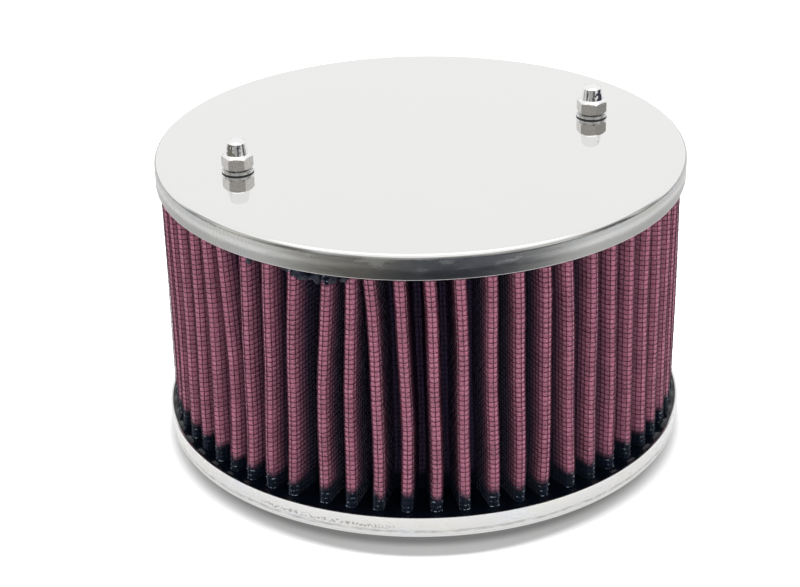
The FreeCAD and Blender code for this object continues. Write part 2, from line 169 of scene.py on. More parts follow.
def node(tree, kind, inputs=None, output=0, **options):
    """Add a node; an input is a value for its socket, or a signal to link to it."""
    made = tree.nodes.new(kind)
    for option, value in options.items():
        setattr(made, option, value)
    for socket, value in (inputs or {}).items():
        if isinstance(value, Signal):
            tree.links.new(value.socket, made.inputs[socket])
        else:
            made.inputs[socket].default_value = value
    return Signal(tree, made.outputs[output])


def feed(made, **signals):
    """Link signals to sockets of a node; _ stands for a space in a socket's name."""
    for socket, signal in signals.items():
        signal.tree.links.new(signal.socket, made.inputs[socket.replace("_", " ")])


# %% [markdown]
# ## Ingredients
#
# These are the few steps that every finish is mixed from: the place on the object, noise, the
# larger of two masks, a mix of two colours or numbers, and a bump.

# %% Short names for common nodes
def object_place(tree):
    return node(tree, "ShaderNodeTexCoord", output="Object")


def parts(vector):
    """The x, y and z of a place or a direction."""
    x = node(vector.tree, "ShaderNodeSeparateXYZ", {0: vector})
    return x, x.sibling(1), x.sibling(2)


def vector_maths(operation, first, second=(0, 0, 0), output="Vector"):
    inputs = {0: first, 1: second}
    return node(first.tree, "ShaderNodeVectorMath", inputs, output, operation=operation)


def noise(place, scale, detail=2.0):
    return node(place.tree, "ShaderNodeTexNoise",
                {"Vector": place, "Scale": scale, "Detail": detail})


def largest(first, *others):
    for other in others:
        first = first.maths("MAXIMUM", other)
    return first


def mix(share, first, second):
    return node(share.tree, "ShaderNodeMix", {0: share, 2: first, 3: second})


def mix_colour(share, first, second):
    inputs = {0: share, 6: first, 7: second}
    return node(share.tree, "ShaderNodeMix", inputs, output=2, data_type="RGBA")


def shaded(colour, share):
    return [part * share for part in colour[:3]] + [1.0]


def bump(height, strength, distance):
    return node(height.tree, "ShaderNodeBump",
                {"Strength": strength, "Distance": distance, "Height": height})


# %% [markdown]
# ## Materials and node groups
#
# A pattern that more than one finish needs is a node group with named inputs, so each material
# places it with its own numbers. A group puts out only masks, colours and heights. The shader
# stays in the material.

# %% Materials and groups
def new_group(name, inputs, **outputs):
    """An empty group: its tree, the signals of its inputs, and the node that takes its outputs."""
    group = bpy.data.node_groups.new(name, "ShaderNodeTree")
    for socket, value in inputs.items():
        made = group.interface.new_socket(socket, in_out="INPUT", socket_type="NodeSocketFloat")
        made.default_value = value
    for socket, kind in outputs.items():
        group.interface.new_socket(socket, in_out="OUTPUT", socket_type=f"NodeSocket{kind}")
    given = group.nodes.new("NodeGroupInput").outputs
    signals = {socket: Signal(group, given[socket]) for socket in inputs}
    return group, signals, group.nodes.new("NodeGroupOutput")


def place_group(tree, group, **inputs):
    """Put a group into a material's tree; the signals of its outputs, by name."""
    made = tree.nodes.new("ShaderNodeGroup")
    made.node_tree = group
    for socket, value in inputs.items():
        made.inputs[socket].default_value = value
    return {socket.name: Signal(tree, socket) for socket in made.outputs}


def new_material(name, **plain):
    """A material with one Principled shader whose plain sockets are set here."""
    material = bpy.data.materials.new(name)
    material.use_nodes = True
    shader = material.node_tree.nodes["Principled BSDF"]
    for socket, value in plain.items():
        shader.inputs[socket.replace("_", " ")].default_value = value
    return material, material.node_tree, shader


# %% [markdown]
# ## Patterns that run round a ring
#
# Smudges on a skirt and stains on the pleats follow the ring, so their pattern needs a coordinate
# that runs round it. Object coordinates give x, y and z. The angle from the front times the radius
# is a length along the ring, and that with z and the radius makes the wrapped place.

# %% Wrapped coordinates
def wrapped_place(tree):
    """The plain place, length along the ring, height, distance from the middle, in metres."""
    place = object_place(tree)
    x, y, z = parts(place)
    bearing = x.maths("ARCTAN2", y * -1.0)
    radius = (x * x + y * y).maths("SQRT")
    return place, bearing * LID_RADIUS, z, radius


def wrapped_noise(along, height, along_scale, height_scale, detail=3.0, seed=0.0):
    """Noise whose grain along the ring differs from its grain up the wall; scales per metre."""
    vector = node(along.tree, "ShaderNodeCombineXYZ",
                  {0: along * along_scale, 1: height * height_scale, 2: seed})
    return noise(vector, 1.0, detail)


# %% [markdown]
# ## Chrome that has been handled
#
# The flat top of the lid is a clean mirror, but every upright wall carries a grey film of finger
# marks, long smears and, in one place, short scratches from the press tool. One node group works
# out where the walls are and how strong the marks on them are, and both sheets use it.

# %% Group: handling marks on chrome
SCRATCHED_AT = math.radians(-42.5) * LID_RADIUS
SCRATCHED_WIDTH = 9.0 * MM
FADE = 1.5 * MM
COOL_FILM, WARM_FILM = (0.72, 0.75, 0.80, 1.0), (0.78, 0.76, 0.68, 1.0)
marks_group, given, marks_out = new_group(
    "handling_marks",
    {"Amount": 1.0, "Scratches": 1.0, "Cleaner_Below": -1.0, "Hazy_Above": 1.0},
    Wall="Float", Mask="Float", Tint="Color", Height="Float")
place, along, height, _ = wrapped_place(marks_group)
_, _, level = parts(node(marks_group, "ShaderNodeNewGeometry", output="Normal"))
on_wall = abs(level).ramp(0.15, 0.6, 1.0, 0.0)

scratches = wrapped_noise(along, height, 1300.0, 160.0, 4.0).ramp(0.47, 0.62)
in_patch = abs(along - SCRATCHED_AT).ramp(SCRATCHED_WIDTH * 0.6, SCRATCHED_WIDTH * 1.3, 1.0, 0.0)
scratched = scratches * in_patch * given["Scratches"]

smears = wrapped_noise(along, height, 100.0, 380.0, 6.0, 7.0).ramp(0.4, 0.68)
patches = wrapped_noise(along, height, 90.0, 130.0, 3.0, 13.0).ramp(0.35, 0.6, 0.25, 1.0)
cleaner = (height - given["Cleaner_Below"]).ramp(-FADE, FADE, 0.2, 1.0)
# The walls turn paler and duller above a given height.
paler_top = (height - given["Hazy_Above"]).ramp(-FADE, FADE, 0.0, 0.45)
smeared = largest(smears * patches * cleaner, paler_top)

on_top = noise(place, 22.0, 3.0).ramp(0.45, 0.75) * 0.05
mask = (scratched + smeared) * given["Amount"] * on_wall + on_top
tint = wrapped_noise(along, height, 40.0, 160.0, 2.0, 21.0).ramp(0.35, 0.65)
ripple = wrapped_noise(along, height, 50.0, 260.0, 2.0, 31.0)
feed(marks_out, Wall=on_wall, Mask=mask.maths("MINIMUM", 1.0),
     Tint=mix_colour(tint, COOL_FILM, WARM_FILM), Height=ripple * on_wall)
print("handling_marks:", len(marks_group.nodes), "nodes")

# %% [markdown]
# ## Chrome of the lid
#
# Both sheets share one recipe: bright metal on the level faces, a greyer colour on the walls, and
# the marks over both. On the skirt of the lid one line was wiped clean, and the colour is darker
# along a band over its lower half. Each is a line at a height that wanders with noise.

# %% Chrome of the lid
CLEAN_CHROME = (0.82, 0.82, 0.81, 1.0)
DARK_LOW_BAND = (0.36, 0.36, 0.35, 1.0)


def chrome(name, scratches, cleaner_below, paler_above, wall_colour, mirror, satin, dull):
    """Chrome with marks; mirror, satin and dull are the roughness of top, wall and marks."""
    material, tree, shader = new_material(name, Metallic=1.0)
    marks = place_group(tree, marks_group, Amount=0.8, Scratches=scratches,
                        Cleaner_Below=cleaner_below, Hazy_Above=paler_above)
    colour = mix_colour(marks["Wall"], CLEAN_CHROME, wall_colour)
    colour = mix_colour(marks["Mask"], colour, marks["Tint"])
    roughness = mix(marks["Mask"], mix(marks["Wall"], mirror, satin), dull)
    feed(shader, Roughness=roughness, Normal=bump(marks["Height"], 0.15, 0.3 * MM))
    return material, shader, colour, wrapped_place(tree)


lid_chrome, shader, colour, (_, along, height, _) = chrome(
    "lid_chrome", 0.9, SKIRT_EDGE + 3 * MM, LID_TOP - 4 * MM, (0.57, 0.57, 0.555, 1.0),
    0.04, 0.17, 0.42)

wander = wrapped_noise(along, height, 30.0, 0.0, 2.0, 67.0)
off_clean = abs(height - (wander * (1.4 * MM) + (SKIRT_EDGE + 3.6 * MM)))
colour = mix_colour(off_clean.ramp(0.4 * MM, 1.2 * MM, 0.65, 0.0), colour, CLEAN_CHROME)

# The skirt's colour darkens along a band over its lower half.
wander = wrapped_noise(along, height, 120.0, 400.0, 3.0, 61.0)
above_band = height - (wander * (2.2 * MM) + (SKIRT_EDGE + 1.8 * MM))
above_edge = height.ramp(SKIRT_EDGE + 0.25 * MM, SKIRT_EDGE + 0.6 * MM)
low_band = above_band.ramp(-0.7 * MM, 0.7 * MM, 1.0, 0.0) * above_edge * 0.55
feed(shader, Base_Color=mix_colour(low_band, colour, DARK_LOW_BAND))
print("material:", lid_chrome.name)

# %% [markdown]
# ## Chrome of the pan
#
# The press left a scuffed line two thirds of the way down the rim, and a row of small dents and
# smudges runs just above it, left of the front. Resin wets the inside of the rim up to its edge.

# %% Chrome of the pan
SCUFF_HEIGHT = RIM_TOP - 5.0 * MM
DENTED_AT = math.radians(-22.0) * LID_RADIUS
SCUFFED, DENTED, WET = (0.50, 0.50, 0.495, 1.0), (0.42, 0.415, 0.40, 1.0), (0.02, 0.022, 0.026, 1.0)
pan_chrome, shader, colour, (_, along, height, radius) = chrome(
    "pan_chrome", 0.5, SEAT, LID_TOP, (0.74, 0.74, 0.73, 1.0), 0.2, 0.2, 0.4)

wander = wrapped_noise(along, height, 90.0, 0.0, 3.0, 41.0)
off_line = abs(height - (wander * (0.9 * MM) + (SCUFF_HEIGHT - 0.45 * MM)))
broken = wrapped_noise(along, height, 260.0, 900.0, 3.0, 51.0).ramp(0.38, 0.62, 0.3, 1.0)
colour = mix_colour(off_line.ramp(0.15 * MM, 0.8 * MM, 1.0, 0.0) * broken, colour, SCUFFED)

wave = wrapped_noise(along, height, 260.0, 0.0, 2.0, 83.0)
off_row = abs(height - (wave * (3.0 * MM) + SCUFF_HEIGHT))
in_row = (off_row.ramp(0.3 * MM, 0.9 * MM, 1.0, 0.0)
          * abs(along - DENTED_AT).ramp(17 * MM, 27 * MM, 1.0, 0.0))
dents = wrapped_noise(along, height, 900.0, 1100.0, 3.0, 89.0).ramp(0.46, 0.58)
colour = mix_colour(in_row * dents, colour, DENTED)

inside = radius.ramp(PAN_RADIUS - SHEET, PAN_RADIUS - 0.4 * SHEET, 1.0, 0.0)
wet = inside * height.ramp(RIM_TOP - 2 * MM, RIM_TOP - 1 * MM)
feed(shader, Base_Color=mix_colour(wet, colour, WET))
print("material:", pan_chrome.name)

# %% [markdown]
# ## Working by hand
#
# Every operator acts on whatever is selected. So each step first lets go of everything, takes hold
# of one object, and in edit mode picks a point by its place.

# %% Selecting
CLOSE_BY = 0.01 * MM


def take(piece):
    """Let go of everything else and make this piece the active one."""
    bpy.ops.object.select_all(action="DESELECT")
    piece.select_set(True)
    bpy.context.view_layer.objects.active = piece
    return piece


def new_piece(name):
    """Name the primitive that was just added."""
    piece = bpy.context.object
    piece.name = piece.data.name = name
    return take(piece)


@contextmanager
def editing(piece):
    """Edit mode, with the whole piece selected, for as long as the block lasts."""
    take(piece)
    bpy.ops.object.mode_set(mode="EDIT")
    bpy.ops.mesh.select_all(action="SELECT")
    yield
    bpy.ops.object.mode_set(mode="OBJECT")


def pick_point(piece, place):
    """In edit mode, select just the point at that place."""
    bpy.ops.mesh.select_mode(type="VERT")
    bpy.ops.mesh.select_all(action="DESELECT")
    mesh = bmesh.from_edit_mesh(piece.data)
    for point in mesh.verts:
        point.select_set((point.co - Vector(place)).length < CLOSE_BY)
    mesh.select_flush(True)
    bmesh.update_edit_mesh(piece.data)


# %% [markdown]
# ## Drawing a line
#
# A line is drawn as most people draw one: a small plane is merged to one point, which is then
# pulled from corner to corner. A bevel of one point rounds a corner.

# %% Drawing
def pull(start, finish):
    """Extrude the selected point by the step from start to finish."""
    step = Vector(finish) - Vector(start)
    bpy.ops.mesh.extrude_region_move(TRANSFORM_OT_translate={"value": step})


def draw_line(name, corners):
    """One point, pulled from corner to corner."""
    bpy.ops.object.select_all(action="DESELECT")
    bpy.ops.mesh.primitive_plane_add(size=MM, location=(0, 0, 0))
    piece = new_piece(name)
    with editing(piece):
        bpy.ops.mesh.merge(type="CENTER")
        bpy.ops.transform.translate(value=corners[0])
        for start, finish in zip(corners, corners[1:]):
            pull(start, finish)
    return piece


def round_corner(piece, place, radius, turn=90.0, steps=8):
    """Bevel one corner of a line into an arc; turn is how far the line bends there."""
    with editing(piece):
        pick_point(piece, place)
        cut_back = radius * math.tan(math.radians(turn) / 2)
        bpy.ops.mesh.bevel(offset=cut_back, segments=steps, affect="VERTICES")


def shift(piece, step):
    with editing(piece):
        bpy.ops.transform.translate(value=step)


# %% [markdown]
# ## From a line to a sheet
#
# A section becomes a pressed sheet in four steps, as a modifier each: it is turned about the axis,
# given the thickness of the sheet, drilled, and rounded on its cut edges. Each modifier is applied
# at once, so that the next step works on a real mesh.

# %% Turning and thickening
SAME_POINT = 0.001 * MM


def modify(piece, kind, **settings):
    """Add a modifier, set it and apply it."""
    modifier = piece.modifiers.new(kind.lower(), kind)
    for setting, value in settings.items():
        setattr(modifier, setting, value)
    take(piece)
    bpy.ops.object.modifier_apply(modifier=modifier.name)


def lathe(piece, steps, **settings):
    """Turn a line, drawn in X and Z, about the Z axis."""
    modify(piece, "SCREW", angle=math.tau, steps=steps, render_steps=steps,
           use_merge_vertices=True, merge_threshold=SAME_POINT, **settings)


def face_outwards(piece):
    """Recalculate the normals; only for a mesh that isn't a wall with two sides yet."""
    with editing(piece):
        bpy.ops.mesh.remove_doubles(threshold=SAME_POINT / 2)
        bpy.ops.mesh.normals_make_consistent(inside=False)


def turn_outwards(piece):
    """Flip an open surface whose outermost face looks inwards."""
    outermost = max(piece.data.polygons, key=lambda face: face.center.xy.length)
    if outermost.normal.xy.dot(outermost.center.xy) < 0:
        piece.data.flip_normals()


def thicken(piece, sheet):
    """Give a surface the thickness of its sheet, grown against the normals."""
    modify(piece, "SOLIDIFY", thickness=sheet, offset=-1.0, use_even_offset=True)


# %% [markdown]
# ## Drilling and smoothing
#
# A hole is drilled with a cylinder, and every cut edge is rounded. In a polished sheet the large
# faces have to set the shading, or the mirror image bends beside each edge.

# %% Drilling and smoothing
DRILL_SIDES, DRILL_LENGTH = 48, 60 * MM
SHARP_ANGLE, EDGE_STEPS = 60.0, 3


def cut_round_hole(piece, centre, radius):
    """Cut a round hole straight through with a cylinder."""
    bpy.ops.object.select_all(action="DESELECT")
    bpy.ops.mesh.primitive_cylinder_add(vertices=DRILL_SIDES, radius=radius, depth=DRILL_LENGTH,
                                        location=centre)
    drill = new_piece("drill")
    modify(piece, "BOOLEAN", operation="DIFFERENCE", solver="EXACT", object=drill)
    bpy.data.objects.remove(drill)


def soften_edges(piece, width):
    """Round every sharp edge, such as the cut edge of a sheet."""
    modify(piece, "BEVEL", width=width, segments=EDGE_STEPS, limit_method="ANGLE",
           angle_limit=math.radians(SHARP_ANGLE))


def smooth(piece, degrees=30.0):
    take(piece)
    bpy.ops.object.shade_smooth_by_angle(angle=math.radians(degrees))


def smooth_sheet(piece):
    """Let the large faces set the shading, so that a mirror stays flat beside a bend."""
    smooth(piece)
    modify(piece, "WEIGHTED_NORMAL", weight=100, keep_sharp=True)


# %% [markdown]
# ## Handing a piece over
#
# A finished piece is told three things: its material, the body that it rides on, and which solids
# of the frame it stands for. Its size is printed, because a piece that is wrong by a factor of ten
# is easily seen there.

# %% Finishing a piece
def triangles(piece):
    piece.data.calc_loop_triangles()
    return len(piece.data.loop_triangles)


def finish_piece(piece, material, slot, *nodes):
    """Give a finished piece its material, its body and the solids that it stands for; slot is not
    used.
    """
    piece.data.materials.clear()
    piece.data.materials.append(material)
    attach(piece, "root")
    if nodes:
        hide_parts(*nodes)
    low, high = ([round(end(c[i] for c in piece.bound_box) / MM, 2) for i in range(3)]
                 for end in (min, max))
    print(piece.name, "triangles", triangles(piece), "from", low, "to", high)


# %% [markdown]
# ## The lid
#
# A flat disc of chromed steel with its edge turned down in one round bend. It could be a bevelled
# cylinder, but half of its section turned about the axis gives a bend of the true radius and a top
# that is really flat, which a mirror finish needs. An extra ring just inside the bend keeps the
# smooth shading of the bend from spreading over the flat top.

# %% Lid
ROUND = 256
LID_BEND, LID_CUT_EDGE, BEND_STEPS = 2.0 * MM, 0.35 * MM, 12
flat_edge = LID_RADIUS - LID_BEND - 0.05 * MM
lid = draw_line("chromed_lid", [
    (0, 0, LID_TOP), (LID_RADIUS - 2 * LID_BEND, 0, LID_TOP), (flat_edge, 0, LID_TOP),
    (LID_RADIUS, 0, LID_TOP), (LID_RADIUS, 0, SKIRT_EDGE),
])
round_corner(lid, (LID_RADIUS, 0, LID_TOP), LID_BEND, steps=BEND_STEPS)
lathe(lid, ROUND)
face_outwards(lid)
thicken(lid, SHEET)
for stud in STUDS.values():
    cut_round_hole(lid, stud, STUD_HOLE)
soften_edges(lid, LID_CUT_EDGE)
smooth_sheet(lid)
finish_piece(lid, lid_chrome, "chromed_sheet", "lid")

# %% [markdown]
# ## The pan
#
# The pan is pressed from the same sheet: an inlet with a turned-up lip, a flat seat that stands on
# the carburettor, a step up to the floor, and a rim. Its section is one line with five corners, so
# it is drawn, rounded, turned and thickened as the lid was, and then drilled.

# %% Pan
mounts = {mount["name"]: mount["dims"] for mount in frame["record"]["mounts"]}
INLET_RADIUS = mounts["inlet"]["r_mm"] * MM
BOLT_SPACING = mounts["carburettor_studs"]["spacing_x_mm"] * MM
BOLT_HOLE = mounts["carburettor_studs"]["hole_r_mm"] * MM
LIP_TOP = SEAT + 9.0 * MM
SEAT_EDGE = 46.0 * MM
STEP_SLOPE, STEP_STEPS = 50.0, 4
LIP_BEND, SEAT_BEND, STEP_BEND, RIM_BEND = 4.0 * MM, 2.0 * MM, 1.0 * MM, 2.2 * MM
PAN_CUT_EDGE = 0.3 * MM
step_top = SEAT_EDGE + (PAN_FLOOR - SEAT) / math.tan(math.radians(STEP_SLOPE))
pan = draw_line("chromed_pan", [
    (INLET_RADIUS, 0, LIP_TOP), (INLET_RADIUS, 0, SEAT), (SEAT_EDGE, 0, SEAT),
    (step_top, 0, PAN_FLOOR), (PAN_RADIUS, 0, PAN_FLOOR), (PAN_RADIUS, 0, RIM_TOP),
])
round_corner(pan, (INLET_RADIUS, 0, SEAT), LIP_BEND)
round_corner(pan, (SEAT_EDGE, 0, SEAT), SEAT_BEND, STEP_SLOPE, STEP_STEPS)
round_corner(pan, (step_top, 0, PAN_FLOOR), STEP_BEND, STEP_SLOPE, STEP_STEPS)
round_corner(pan, (PAN_RADIUS, 0, PAN_FLOOR), RIM_BEND)
lathe(pan, ROUND)
face_outwards(pan)
turn_outwards(pan)
thicken(pan, SHEET)
for stud in STUDS.values():
    cut_round_hole(pan, stud, STUD_HOLE)
for side in (-1, 1):
    cut_round_hole(pan, (side * BOLT_SPACING / 2, 0, 0), BOLT_HOLE)
soften_edges(pan, PAN_CUT_EDGE)
smooth_sheet(pan)
finish_piece(pan, pan_chrome, "chromed_sheet", "base_pan")

# %% [markdown]
# ## One fold of the strip
#
# The pleats are one strip folded to and fro. In plan a fold is a round crest, two straight flanks
# and half a valley at either side. One flank is drawn as a line, its inner end is spun about the
# valley's centre and its outer end about the crest's, the other flank is pulled out, and so on.
# Sixty copies, each turned by a sixtieth, join into one closed line.

# %% Plan of a fold
PLEATS = 60
FULL_TURN = 360.0
PITCH = FULL_TURN / PLEATS
PLEAT_DEPTH = 15.6 * MM
WIRE_LAYER = 0.5 * MM
CLOTH = 0.4 * MM
CREST_RADIUS = 2.2 * MM - WIRE_LAYER
VALLEY_RADIUS = 1.1 * MM + WIRE_LAYER
crest_centre = OUTER_FOLDS - WIRE_LAYER - CREST_RADIUS
valley_centre = OUTER_FOLDS - PLEAT_DEPTH + CLOTH + VALLEY_RADIUS
half_pitch = math.radians(PITCH / 2)
run = crest_centre - valley_centre * math.cos(half_pitch)
rise = valley_centre * math.sin(half_pitch)
radii = CREST_RADIUS + VALLEY_RADIUS
flank_angle = math.atan2(rise, run) - math.asin(radii / math.hypot(run, rise))
flank_length = math.sqrt(run ** 2 + rise ** 2 - radii ** 2)
print("flank:", round(flank_length / MM, 2), "mm, angle", round(math.degrees(flank_angle), 2))


def flank_point(side, inwards):
    """A point on the left (-1) or right (+1) flank, so far inwards from the crest's arc."""
    across = CREST_RADIUS * math.cos(flank_angle) + inwards * math.sin(flank_angle)
    reach = crest_centre + CREST_RADIUS * math.sin(flank_angle) - inwards * math.cos(flank_angle)
    return Vector((side * across, -reach, 0))


def spin_about(centre, turn, steps):
    bpy.ops.mesh.spin(steps=steps, angle=turn, axis=(0, 0, 1), center=centre)


# %% [markdown]
# ## Sixty folds in one line
#
# The other fifty-nine could be drawn as well, but an Array about an empty that is turned by one
# pitch makes them in one step and merges the ends where two folds meet.

# %% Fold line
CREST_STEPS, FLANK_STEPS, VALLEY_STEPS = 8, 4, 3
stations = [flank_length * step / FLANK_STEPS for step in range(FLANK_STEPS + 1)]
valley_turn = math.pi / 2 - flank_angle - half_pitch
fold = draw_line("fold_line", [flank_point(-1, inwards) for inwards in stations])
with editing(fold):
    pick_point(fold, flank_point(-1, flank_length))
    spin_about(at_bearing(valley_centre, -PITCH / 2), -valley_turn, VALLEY_STEPS)
    pick_point(fold, flank_point(-1, 0))
    spin_about((0, -crest_centre, 0), 2 * flank_angle - math.pi, CREST_STEPS)
    for start, finish in zip(stations, stations[1:]):
        pull(flank_point(1, start), flank_point(1, finish))
    spin_about(at_bearing(valley_centre, PITCH / 2), valley_turn, VALLEY_STEPS)

bpy.ops.object.empty_add(rotation=(0, 0, math.radians(PITCH)))
turner = bpy.context.object
modify(fold, "ARRAY", count=PLEATS, use_relative_offset=False, use_object_offset=True,
       offset_object=turner, use_merge_vertices=True, use_merge_vertices_cap=True,
       merge_threshold=CLOSE_BY)
bpy.data.objects.remove(turner)
print("fold line:", len(fold.data.vertices), "points,", len(fold.data.edges), "edges")

# %% [markdown]
# ## Pleats set by hand
#
# Nobody sets sixty pleats evenly. Their heads sit a little to the left of their feet on the right
# side, the other way on the left, and in front four of them have crowded together at the top and
# left a wide gap beside them. So each crest gets three small turns about the axis, at its foot,
# middle and head. Most come from chance, and those of eight crests in front are measured.

# %% Turns of the crests
FRONT_CREST = 1.6
FOOT_SWAY, HEAD_LAG = 0.5, -0.5
FOOT_SPREAD, MIDDLE_SPREAD, HEAD_SPREAD = 0.2, 0.12, 0.25
dice = random.Random(7)
leans = []
for crest in range(PLEATS):
    sway = math.sin(math.radians(crest * PITCH + FRONT_CREST))
    leans.append([FOOT_SWAY * sway + dice.gauss(0, FOOT_SPREAD), dice.gauss(0, MIDDLE_SPREAD),
                  HEAD_LAG + dice.gauss(0, HEAD_SPREAD)])
# Foot, middle and head of the crests that stand out, counted from the one in front
for crest, turns in {
    -7: (-1.2, -0.5, -0.1), -6: (-1.5, -0.8, 0.1), -5: (-1.6, -0.8, 0.3), -4: (-0.2, 0.4, 1.9),
    -3: (-0.2, 0.3, 1.1), -2: (-0.2, 0.0, -0.9), -1: (0.0, 0.0, -0.8), 0: (0.1, 0.0, -0.7),
}.items():
    leans[crest % PLEATS] = turns
LEANS = np.array(leans)
# For each crest, where its bulges start and how strong they are
BULGES = np.array([[dice.uniform(0, math.tau), dice.uniform(0.3, 1.0)] for _ in range(PLEATS)])
print("largest turn at a head:", round(LEANS[:, 2].max(), 2), "degrees")

# %% [markdown]
# ## Leaning the strip
#
# A crest follows one smooth curve through its three turns, and a valley takes the mean of its two
# neighbours. No tool of Blender's does this to sixty folds at once, so one function moves points,
# and cloth and wires both go through it.

# %% Lean of the pleats
MEASURED_AT = (0.1, 0.5, 0.9)
WAVE, WAVES_UP = 0.12, 9.0
CREST_SHARE = 0.25
BULGE_DEPTH, BULGES_UP = 0.25 * MM, 7.0


def lean_at(crest, share):
    """Turn of a crest at a share of its height, in degrees: one smooth curve through its three."""
    crest = crest.astype(int) % PLEATS
    turn = WAVE * np.sin(BULGES[crest, 0] + WAVES_UP * share)
    for index, here in enumerate(MEASURED_AT):
        first, second = (other for other in MEASURED_AT if other != here)
        weight = (share - first) * (share - second) / ((here - first) * (here - second))
        turn = turn + LEANS[crest, index] * weight
    return turn


def lean(points):
    """Move points of the even, upright strip to where the real one stands."""
    x, y, z = points.T
    radius = np.hypot(x, y)
    bearing = np.degrees(np.arctan2(x, -y))
    share = (z - pleat_low.z) / PLEAT_HEIGHT
    crest = np.round(bearing / PITCH)
    off_crest = bearing / PITCH - crest
    to_neighbour = np.clip(np.abs(off_crest) - CREST_SHARE, 0, CREST_SHARE) / (2 * CREST_SHARE)
    turn = (lean_at(crest, share) * (1 - to_neighbour)
            + lean_at(crest + np.sign(off_crest), share) * to_neighbour)
    start, strength = BULGES[crest.astype(int) % PLEATS].T
    crown = np.clip((radius - valley_centre) / (crest_centre - valley_centre), 0, 1)
    sunk = crown * strength * (1 + np.sin(start + BULGES_UP * share)) / 2
    radius = radius - BULGE_DEPTH * sunk
    turned = np.radians(bearing + FRONT_CREST + turn)
    return np.column_stack((radius * np.sin(turned), -radius * np.cos(turned), z))


def move_points(piece, move):
    places = np.empty(len(piece.data.vertices) * 3)
    piece.data.vertices.foreach_get("co", places)
    piece.data.vertices.foreach_set("co", move(places.reshape(-1, 3)).ravel())
    piece.data.update()


# %% [markdown]
# ## Gauze
#
# The closed line is lifted into a wall, which is how a strip stands on its edge: a Screw modifier
# with no turn, only a rise. The wall is leaned, and a Solidify gives it the thickness of the cloth.

# %% Gauze wall
GAUZE_ROWS = 22
take(fold)
bpy.ops.object.duplicate()
gauze = new_piece("pleated_gauze")
modify(gauze, "SCREW", angle=0.0, screw_offset=PLEAT_HEIGHT, steps=GAUZE_ROWS,
       render_steps=GAUZE_ROWS)
shift(gauze, (0, 0, pleat_low.z))
turn_outwards(gauze)
move_points(gauze, lean)
thicken(gauze, CLOTH)
smooth(gauze, 50.0)
print("gauze:", triangles(gauze), "triangles")

# %% [markdown]
# ## Woven wire
#
# Over the cloth lies a wire cloth of fifteen wires to the inch. It could be a bump pattern, but the
# light catches each wire on the crests, so the wires are real. First come their places: where they
# cross, counted along the strip, and which way is outwards there.

# %% Places of the wires on the strip
WIRE_PITCH = 1.72 * MM
STEP_ALONG = 0.05 * MM


def ordered_ring(piece):
    """The points of a closed line, in order, as (x, y)."""
    neighbours = {}
    for edge in piece.data.edges:
        first, second = edge.vertices
        neighbours.setdefault(first, []).append(second)
        neighbours.setdefault(second, []).append(first)
    order, before, here = [0], None, 0
    while len(order) < len(piece.data.vertices):
        following = next(n for n in neighbours[here] if n != before)
        before, here = here, following
        order.append(here)
    return np.array([piece.data.vertices[index].co.xy for index in order])


ring_points = ordered_ring(fold)
closed = np.vstack((ring_points, ring_points[:1]))
travelled = np.concatenate(([0.0], np.cumsum(np.hypot(*np.diff(closed, axis=0).T))))
strip_length = travelled[-1]
# An even number of wires on each pleat, so that the weave closes on itself
crossings = PLEATS * 2 * round(strip_length / PLEATS / WIRE_PITCH / 2)
first_crest = travelled[np.argmax(np.hypot(*ring_points.T))]


def along_strip(places):
    """Points on the strip's line and their normals, at lengths along it."""
    point, ahead, behind = (
        np.column_stack([np.interp((places + step) % strip_length, travelled, closed[:, axis])
                         for axis in (0, 1)])
        for step in (0, STEP_ALONG, -STEP_ALONG))
    forward = ahead - behind
    normal = np.column_stack((forward[:, 1], -forward[:, 0]))
    return point, normal / np.linalg.norm(normal, axis=1)[:, None]


crossing_places = first_crest + np.arange(crossings) * strip_length / crossings
crossing_points, crossing_normals = along_strip(crossing_places)
outermost = np.argmax(np.hypot(*crossing_points.T))
OUTWARDS = np.sign(crossing_points[outermost] @ crossing_normals[outermost])
crossing_normals *= OUTWARDS
print("strip is", round(strip_length, 3), "m long,", crossings, "upright wires")

# %% [markdown]
# ## Upright wires
#
# A wire is a curve with a round section swept along it. Three sides are enough for a wire thinner
# than half a millimetre. The upright ones are straight and only lean with their pleat.

# %% Upright wires as curves
WIRE_RADIUS = 0.155 * MM
WIRE_STAND_OFF = 0.24 * MM
UPRIGHT_STEPS = 7


def stand(name, data):
    """Put new data into the scene as an object."""
    made = bpy.data.objects.new(name, data)
    bpy.context.scene.collection.objects.link(made)
    return made


def add_line(curve, points, cyclic=True):
    """One line of a curve, along a row of points."""
    line = curve.splines.new("POLY")
    line.points.add(len(points) - 1)
    line.points.foreach_set("co", np.column_stack((points, np.ones(len(points)))).ravel())
    line.use_cyclic_u = cyclic


def wire_piece(name, lines, cyclic):
    """One mesh of many wires, each along its own row of points."""
    curve = bpy.data.curves.new(name, "CURVE")
    curve.dimensions = "3D"
    curve.bevel_mode = "OBJECT"
    curve.bevel_object = section
    for points in lines:
        add_line(curve, points, cyclic)
    take(stand(name, curve))
    bpy.ops.object.convert(target="MESH")
    piece = new_piece(name)
    smooth(piece, 180.0)
    print(name, "triangles", triangles(piece))
    return piece


outline = bpy.data.curves.new("wire_section", "CURVE")
outline.dimensions = "2D"
corners = math.tau * np.arange(3) / 3
add_line(outline, np.column_stack((np.cos(corners), np.sin(corners), 0 * corners)) * WIRE_RADIUS)
section = stand("wire_section", outline)
heights = np.linspace(pleat_low.z, pleat_high.z, UPRIGHT_STEPS)
upright_wires = wire_piece("upright_wires", [
    lean(np.array([(x, y, height) for height in heights]))
    for x, y in crossing_points + crossing_normals * WIRE_STAND_OFF], False)

# %% [markdown]
# ## Level wires
#
# The level wires pass over one upright and under the next, and change sides from row to row, which
# is what makes it a weave. They need a point at every crossing, and one more between crossings
# where the strip turns round a crest. They go into three pieces, to keep each a handy size.

